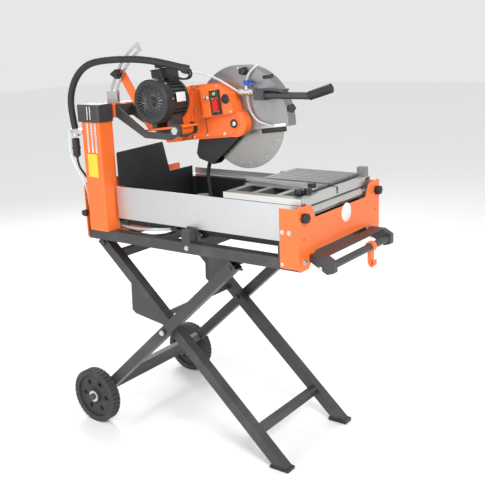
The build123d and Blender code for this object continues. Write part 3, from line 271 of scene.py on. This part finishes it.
# %% head frame
tilt_y = 0.045
tilt_z = 1.230
pitch = radians(7)
motor_u, motor_w = 75, 114            # motor axis on the head, in millimetres
spindle_u, spindle_w = -154, -4       # blade axis on the head, in millimetres
head_u = Vector((0, cos(pitch), -sin(pitch)))
head_w = Vector((0, sin(pitch), cos(pitch)))


def head(x, u, w):
    """A point of the head from its X, u and w in millimetres."""
    return Vector((x / 1000, tilt_y, tilt_z)) + head_u * u / 1000 + head_w * w / 1000


def at(x, y, z):
    """A point of the machine from millimetres."""
    return Vector((x, y, z)) / 1000


side = Vector((1, 0, 0))
rear = Vector((0, 1, 0))
up = Vector((0, 0, 1))

# %% [markdown]
# ## Small-part makers
# Turned parts start from a cylinder primitive, plates from a cube, both bevelled the way a
# real edge is broken. Each finished part sits at the origin with its place in its mesh,
# rides on one CAD body, and names the finish that it takes.


# %% makers
def aim(direction):
    """The rotation that turns +Z to a direction."""
    return Vector(direction).to_track_quat("Z", "Y").to_matrix().to_4x4()


def settle(piece, name, body, slot, bevel=0.0, angle=32):
    """Bevel a new piece, move its place into the mesh, dress it and fasten it to a body."""
    piece.name = name
    if bevel:
        edge = piece.modifiers.new("edge", "BEVEL")
        edge.width = bevel
        edge.segments = 2
        edge.limit_method = "ANGLE"
        bpy.context.view_layer.objects.active = piece
        bpy.ops.object.modifier_apply(modifier="edge")
    bpy.context.view_layer.update()
    piece.data.transform(piece.matrix_world)
    piece.matrix_world = Matrix.Identity(4)
    mesh = bmesh.new()
    mesh.from_mesh(piece.data)
    bmesh.ops.recalc_face_normals(mesh, faces=mesh.faces)
    mesh.to_mesh(piece.data)
    mesh.free()
    dress(piece, slot)
    smooth(piece, angle)
    if body:
        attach(piece, body)
    return piece


def turned(name, body, slot, start, direction, length, radius, bevel=0.001, sides=48, end_radius=None):
    """A round, conical or hexagonal part from its start along a direction."""
    bpy.ops.object.select_all(action="DESELECT")
    if end_radius is None:
        bpy.ops.mesh.primitive_cylinder_add(vertices=sides, radius=radius, depth=length)
    else:
        bpy.ops.mesh.primitive_cone_add(vertices=sides, radius1=radius, radius2=end_radius, depth=length)
    piece = bpy.context.object
    middle = Vector(start) + Vector(direction).normalized() * length / 2
    piece.matrix_world = Matrix.Translation(middle) @ aim(direction)
    return settle(piece, name, body, slot, bevel)


def plate(name, body, slot, middle, size, axes=(side, rear, up), bevel=0.001):
    """A block with its three sizes along three axes."""
    bpy.ops.object.select_all(action="DESELECT")
    bpy.ops.mesh.primitive_cube_add(size=1)
    piece = bpy.context.object
    turn = Matrix((axes[0], axes[1], axes[2])).transposed().to_4x4()
    piece.matrix_world = Matrix.Translation(middle) @ turn @ Matrix.Diagonal((*size, 1))
    bpy.context.view_layer.update()
    piece.data.transform(piece.matrix_world)
    piece.matrix_world = Matrix.Identity(4)
    return settle(piece, name, body, slot, bevel)


def lobed_knob(name, body, slot, start, direction, height, radius, lobes, depth=0.18):
    """A hand knob whose rim swells into lobes."""
    bpy.ops.object.select_all(action="DESELECT")
    bpy.ops.mesh.primitive_cylinder_add(vertices=96, radius=radius, depth=height)
    piece = bpy.context.object
    for vertex in piece.data.vertices:
        turn = Vector((vertex.co.x, vertex.co.y)).angle_signed(Vector((1, 0)), 0)
        swell = 1 - depth * (0.5 - 0.5 * cos(lobes * turn))
        vertex.co.x *= swell
        vertex.co.y *= swell
    middle = Vector(start) + Vector(direction).normalized() * height / 2
    piece.matrix_world = Matrix.Translation(middle) @ aim(direction)
    return settle(piece, name, body, slot, min(0.003, height / 5))


def bolt(name, body, start, direction, radius=0.009, slot="zinc_steel"):
    """A hexagon head on its washer."""
    out = Vector(direction).normalized()
    turned(f"{name}_washer", body, slot, start, out, 0.0015, radius * 1.35, 0.0003)
    return turned(f"{name}_head", body, slot, Vector(start) + out * 0.0015, out, radius * 0.7, radius,
                  0.0008, 6)


def cord(name, body, slot, points, radius):
    """A smooth hose or cable through given points."""
    bpy.ops.object.select_all(action="DESELECT")
    data = bpy.data.curves.new(name, "CURVE")
    data.dimensions = "3D"
    spline = data.splines.new("NURBS")
    spline.points.add(len(points) - 1)
    for knot, point in zip(spline.points, points):
        knot.co = (*point, 1)
    spline.order_u = 3
    spline.use_endpoint_u = True
    spline.resolution_u = 12
    data.bevel_depth = radius
    data.bevel_resolution = 5
    data.use_fill_caps = True
    piece = bpy.data.objects.new(name, data)
    scene.collection.objects.link(piece)
    piece.select_set(True)
    bpy.context.view_layer.objects.active = piece
    bpy.ops.object.convert(target="MESH")
    return settle(bpy.context.object, name, body, slot, 0, 60)


# %% [markdown]
# ## Hoses, cables and the conduit
# Each one repeats its CAD route as one smooth curve. The armoured conduit runs from the column
# to the head, and the drain hose hangs from the head.

# %% cords
conduit = cord("power_conduit_curve", None, "black_rubber", [
    at(-272, 512, 1212), at(-272, 526, 1280), at(-272, 526, 1352), at(-271, 489, 1423),
    at(-269, 425, 1470), at(-265, 340, 1485), at(-252, 190, 1488), at(-226, 76, 1472),
    at(-196, -10, 1446),
], 0.013)
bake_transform(conduit)
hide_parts("power_conduit")

pump_hose = cord("pump_hose_curve", "frame", "clear_hose", [
    at(-288, 530, 1222), at(-290, 541, 1150), at(-290, 516, 1082), at(-289, 457, 1005),
    at(-284, 457, 930), at(-268, 466, 886), at(-206, 456, 849), at(-208, 380, 843),
    at(-225, 305, 841), at(-231, 225, 845), at(-231, 150, 852), at(-229, 80, 862),
], 0.006)
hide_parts("pump_hose")

pump_cable = cord("pump_cable_curve", "frame", "black_rubber", [
    at(-270, 520, 1111), at(-270, 516, 1078), at(-268, 492, 1052), at(-265, 457, 1008),
    at(-262, 457, 960), at(-250, 464, 903), at(-190, 450, 846), at(-194, 366, 833),
    at(-214, 290, 824), at(-228, 220, 822), at(-232, 150, 829), at(-231, 86, 845),
], 0.0045)
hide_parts("pump_cable")

drain = cord("drain_hose_curve", "head", "black_rubber", [
    head(0, 38, -140), at(0, 78, 1054), at(0, 79, 1006), at(0, 72, 950),
], 0.0075)
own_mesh(drain)
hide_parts("drain_hose")

supply = cord("supply_tube_curve", "head", "clear_hose", [
    at(-96, 96, 1424), at(-92, 36, 1432), at(-78, -30, 1414), at(-60, -86, 1380), at(-50, -120, 1358),
], 0.004)
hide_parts("water_tubes")
cord("rim_tube", "head", "clear_hose", [
    at(-38, -142, 1372), at(-37, -146, 1400), at(-36, -164, 1432), at(-24, -196, 1456),
], 0.004)
cord("face_tube", "head", "clear_hose", [
    at(-38, -150, 1344), at(-36, -150, 1316), at(-34, -163, 1278), at(-33, -196, 1246), at(-33, -252, 1238),
], 0.004)
for number, drop in enumerate((0, 12)):
    cord(f"motor_lead_{number}", "head", "black_rubber", [
        at(-197 + drop, -10, 1446), at(-190 + drop, -14, 1428), at(-180 + drop, 10, 1412),
        at(-170 + drop, 48, 1410), at(-164 + drop, 84, 1416),
    ], 0.0035)
print("cords made")

# %% [markdown]
# ## Column furniture
# A height scale in bright strips, a plain notice plate, and the clamp that holds the conduit.

# %% column
for number, y in enumerate((376, 396, 418)):
    plate(f"column_strip_{number}", "frame", "chrome_trim", at(-299.6, y, 1198),
          (0.002, 0.009, 0.112), bevel=0.0004)
for number, y in enumerate((391, 406)):
    plate(f"cap_strip_{number}", "frame", "chrome_trim", at(-304, y, 1292), (0.004, 0.005, 0.05),
          bevel=0.0004)
plate("notice_plate", "frame", "yellow_plate", at(-300.6, 402, 1092), (0.0012, 0.05, 0.09), bevel=0.0003)
turned("conduit_ferrule", "frame", "zinc_steel", at(-272, 510, 1196), (0, 0.19, 0.98), 0.03, 0.0165)
turned("conduit_gland", "head", "black_plastic", at(-194, -12, 1444), (-0.42, 0.8, 0.25), 0.026, 0.0165,
       0.002, 6)
plate("conduit_clamp", "frame", "zinc_steel", at(-272, 496, 1218), (0.034, 0.07, 0.018))
lobed_knob("rear_shelf_knob", "frame", "black_plastic", at(-291, 470, 900), (-1, 0, 0), 0.018, 0.014, 5)
print("column furnished")

# %% [markdown]
# ## Motor and belt housing details
# A blank rating plate, the capacitor box lid, cover screws, a seam across the cover and a
# lamp, a toggle and a guard ring beside the rocker switch.

# %% head details
head_axes = (side, head_u, head_w)
plate("rating_plate", "head", "white_plate", head(-165, -3.5, 118), (0.05, 0.001, 0.034), head_axes, 0.0003)
plate("capacitor_lid", "head", "black_plastic", head(-149, 72, 226), (0.058, 0.09, 0.007), head_axes, 0.002)
for number, (u, w) in enumerate(((-18, -34), (-100, -38), (44, -36), (14, 142), (22, 60))):
    bolt(f"cover_screw_{number}", "head", head(-64, u, w), (-1, 0, 0), 0.005)
plate("cover_seam", "head", "cowl_black", head(-64.5, -22, 0), (0.0012, 0.002, 0.07), head_axes, 0.0002)
turned("pilot_lamp", "head", "green_lamp", head(-89, -97, 112), (-1, 0, 0), 0.006, 0.007, 0.002)
turned("toggle_bush", "head", "zinc_steel", head(-88, -64, 100), (-1, 0, 0), 0.006, 0.008)
turned("toggle_lever", "head", "chrome_trim", head(-92, -64, 100), (-1, 0, 0.35), 0.02, 0.003)
turned("button_collar", "head", "black_plastic", head(-91, -147, 88), (-1, 0, 0), 0.002, 0.0175, 0.0008)
for number, (u, w) in enumerate(((-24, 36), (-24, 138), (-108, 138), (-160, 40))):
    turned(f"switch_box_screw_{number}", "head", "zinc_steel", head(-86, u, w), (-1, 0, 0), 0.002, 0.0035,
           0.0004)
turned("boss_ring", "head", "cowl_black", head(-69, spindle_u, spindle_w), (-1, 0, 0), 0.0015, 0.0165, 0.0004)
turned("spindle_boss_cap", "head", "zinc_steel", head(-70.5, spindle_u, spindle_w), (-1, 0, 0), 0.002, 0.0085)
cord("cover_lip", "head", "orange_paint", [head(-64, u, w) for u, w in (
    (14, -40), (56, -40), (44, 40), (28, 147), (-40, 145), (-108, 142), (-157, 102), (-166, 60), (-166, 26),
    (-158, -42), (-100, -45), (14, -40),
)], 0.0028)
for number, (u, w, along, across) in enumerate((
    (-117.5, 80, 0.012, 0.09), (-76.5, 80, 0.007, 0.09), (-97, 111, 0.03, 0.026), (-97, 40.5, 0.03, 0.011),
)):
    plate(f"rocker_frame_{number}", "head", "black_plastic", head(-88.6, u, w), (0.0014, along, across),
          head_axes, 0.0003)
cowl_radius = 0.081
for number, angle in enumerate((45, 90, 135, 180)):
    outward = head_u * cos(radians(angle)) + head_w * sin(radians(angle))
    turned(f"cowl_screw_{number}", "head", "zinc_steel",
           head(-214, motor_u, motor_w) + outward * cowl_radius, outward, 0.0015, 0.0035, 0.0004)
print("head detailed")

# %% [markdown]
# ## Blade guard details
# The guard carries its hand knobs, a row of rim screws and the splash brush that wipes the
# blade.

# %% guard details
turned("valve_knob", "lever", "blue_plastic", at(-50, -156, 1387), up, 0.012, 0.0125, 0.002, 8)
lobed_knob("guard_top_knob", "head", "black_plastic", at(-26, -132, 1430), (-1, 0, 0), 0.02, 0.015, 5)
lobed_knob("guard_front_knob", "head", "black_plastic", at(-26, -335, 1302), (-1, 0, 0), 0.018, 0.016, 5)
turned("wing_knob_stem", "head", "zinc_steel", at(-25, -245, 1412), (-1, 0, 0), 0.014, 0.004)
plate("wing_knob", "head", "black_plastic", at(-42, -245, 1412), (0.008, 0.044, 0.014), head_axes, 0.003)
plate("brush_holder", "head", "zinc_steel", head(-27, -296, -30), (0.003, 0.11, 0.012), head_axes, 0.0006)
plate("brush_bristles", "head", "black_rubber", head(-26.5, -296, -44), (0.006, 0.106, 0.018), head_axes,
      0.0006)
screw_circle = 196
for number, angle in enumerate((25, 60, 95, 130, 160)):
    u = spindle_u + screw_circle * cos(radians(angle))
    w = spindle_w + screw_circle * sin(radians(angle))
    turned(f"guard_screw_{number}", "head", "zinc_steel", head(-25, u, w), (-1, 0, 0), 0.002, 0.004, 0.0004)

# %% [markdown]
# ## Body and front plate
# Blank round badge where the maker's sign would be, two knobs that lock the front plate, the
# bolts under them, a red clip on the far rail and the fitting that the pump hose enters.

# %% body details
turned("front_badge", "frame", "white_plate", at(30, -515, 935), (0, -1, 0), 0.0015, 0.034, 0.0004, 64)
for number, x in enumerate((-262, 262)):
    lobed_knob(f"front_knob_{number}", "frame", "black_plastic", at(x, -515, 974), (0, -1, 0), 0.022, 0.017,
               6)
    bolt(f"front_bolt_{number}", "frame", at(x * 0.98, -515, 824), (0, -1, 0), 0.008)
for number, y in enumerate((-478, -452)):
    bolt(f"flange_bolt_{number}", "frame", at(-290, y, 925), (-1, 0, 0), 0.006)
plate("red_clip", "frame", "red_plastic", at(239, -120, 1012), (0.012, 0.03, 0.018), bevel=0.002)
turned("hose_fitting", "frame", "black_plastic", at(-229, 84, 862.5), (0.1, -1, 0.25), 0.03, 0.009, 0.001, 6)
plate("panel_bracket", "frame", "dark_grey_paint", at(-246.5, -31, 862), (0.003, 0.05, 0.05))
bolt("panel_bracket_bolt", "frame", at(-248, -31, 866), (-1, 0, 0), 0.008)
for number, y in enumerate((-449, -31)):
    bolt(f"rail_bolt_left_{number}", "frame", at(-285, y, 815), (-1, 0, 0), 0.007)
    bolt(f"rail_bolt_right_{number}", "frame", at(285, y, 815), (1, 0, 0), 0.007)
turned("handle_lock_bolt", "frame", "zinc_steel", at(-226, -560, 800), (-1, 0, 0), 0.006, 0.008, 0.0008, 6)

# %% cart details
for number, (x, y) in enumerate(((-150, -468), (-182, -450))):
    lobed_knob(f"cart_knob_{number}", "cart", "black_plastic", at(x, y, 1030), (0, 0, 1), 0.02, 0.014, 5)
plate("cart_corner_plate", "cart", "zinc_steel", at(-214, -501, 1021), (0.055, 0.003, 0.022))
blade_slot = 5
for number in range(30):
    mark_x = -66 + number * 9.5
    if abs(mark_x) > blade_slot:
        plate(f"ruler_mark_{number}", "cart", "cowl_black", at(mark_x, -459, 1038.2),
              (0.0008, 0.012 if number % 5 else 0.02, 0.0006), bevel=0)
print("body and cart detailed")

# %% [markdown]
# ## Stand details
# Bolt heads at the crossing of the legs, hub caps on the wheels, and plastic plugs in the open
# tube ends.

# %% stand details
fold = radians(42.5)
leg_upper = 453
hinge = at(0, 444, 767)
crossing = hinge + at(0, -leg_upper * cos(fold), -leg_upper * sin(fold))
for number, mirror in enumerate((-1, 1)):
    outward = side * mirror
    bolt(f"crossing_bolt_{number}", "leg_a", crossing + outward * 0.294, outward, 0.008)
    plate(f"leg_a_plug_{number}", "leg_a", "black_plastic",
          hinge + outward * 0.223 + Vector((0, cos(fold), sin(fold))) * 0.0195, (0.0395, 0.0395, 0.003),
          (side, Vector((0, -sin(fold), cos(fold))), Vector((0, cos(fold), sin(fold)))))
wheel_radius = 0.115
axle = Vector((0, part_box("wheel_left")[0].y + wheel_radius, wheel_radius))
hub_face = 0.3273
for number, (mirror, body) in enumerate(((-1, "transport_wheel_left"), (1, "transport_wheel_right"))):
    turned(f"hub_cap_{number}", body, "zinc_steel", axle + side * mirror * hub_face, side * mirror, 0.004,
           0.024)
print("stand detailed")

# %% [markdown]
# ## Hand grip
# The grip is a soft sleeve with finger rings, turned about the handle's upswept end.

# %% grip
grip_direction = Vector((0, -cos(radians(17)), sin(radians(17))))
grip_start = at(-60, -423, 1348)
grip_length = 0.086
finger_rings = 9
ring_depth = 0.06
bpy.ops.object.select_all(action="DESELECT")
bpy.ops.mesh.primitive_cylinder_add(vertices=64, radius=0.0165, depth=grip_length)
grip = bpy.context.object
bpy.ops.object.mode_set(mode="EDIT")
bpy.ops.mesh.select_all(action="SELECT")
bpy.ops.mesh.subdivide(number_cuts=24)
bpy.ops.object.mode_set(mode="OBJECT")
for vertex in grip.data.vertices:
    ring = abs(sin(vertex.co.z / grip_length * finger_rings * pi))
    radial = Vector((vertex.co.x, vertex.co.y)).length
    if radial > 0.016:
        vertex.co.x *= 1 - ring_depth + ring_depth * ring
        vertex.co.y *= 1 - ring_depth + ring_depth * ring
grip.matrix_world = Matrix.Translation(grip_start + grip_direction * 0.047) @ aim(grip_direction)
grip = settle(grip, "soft_grip", "head", "black_rubber", 0)
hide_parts("handle_grip")

# %% [markdown]
# ## Studio
# A wide, flat pale floor, one large soft key over the camera's left shoulder,
# a weaker fill and a rim light, and the camera where the photographer stood.

# %% floor, lights and camera
bpy.ops.object.select_all(action="DESELECT")
bpy.ops.mesh.primitive_plane_add(size=40)
floor = bpy.context.object
floor.name = "studio_floor"
floor_look = Material("studio_floor")
floor_look.finish(floor_look.mix(floor_look.noise(1.5) * 0.1, (0.93, 0.93, 0.93), (0.9, 0.9, 0.9)), 0.6)
floor.data.materials.append(floor_look.data)

world = bpy.data.worlds.new("studio")
scene.world = world
scene.view_settings.view_transform = "Standard"
world.use_nodes = True
world.node_tree.nodes["Background"].inputs["Color"].default_value = (1, 1, 1, 1)
world.node_tree.nodes["Background"].inputs["Strength"].default_value = 0.8


def soft_light(name, place, size, power):
    """A square area light that faces the machine."""
    data = bpy.data.lights.new(name, "AREA")
    data.size = size
    data.energy = power
    lamp = bpy.data.objects.new(name, data)
    scene.collection.objects.link(lamp)
    lamp.location = place
    lamp.rotation_euler = (at(0, 0, 900) - Vector(place)).to_track_quat("-Z", "Y").to_euler()


soft_light("key", (-2.2, -3.4, 3.6), 1.8, 165)
soft_light("fill", (-3.8, 0.8, 1.6), 2.0, 40)
soft_light("rim", (2.0, 2.6, 3.0), 1.6, 70)

eye = Vector((-2.3699, -1.8193, 1.5555))
target = Vector((0.0, -0.075, 0.775))
roll = radians(-2.19)
look = (target - eye).normalized()
right = look.cross(up).normalized()
above = right.cross(look)
camera_right = right * cos(roll) + above * sin(roll)
camera_up = above * cos(roll) - right * sin(roll)
camera_data = bpy.data.cameras.new("camera")
camera_data.lens = 58.0
camera = bpy.data.objects.new("camera", camera_data)
scene.collection.objects.link(camera)
camera.matrix_world = Matrix.Translation(eye) @ Matrix((camera_right, camera_up, -look)).transposed().to_4x4()
scene.camera = camera
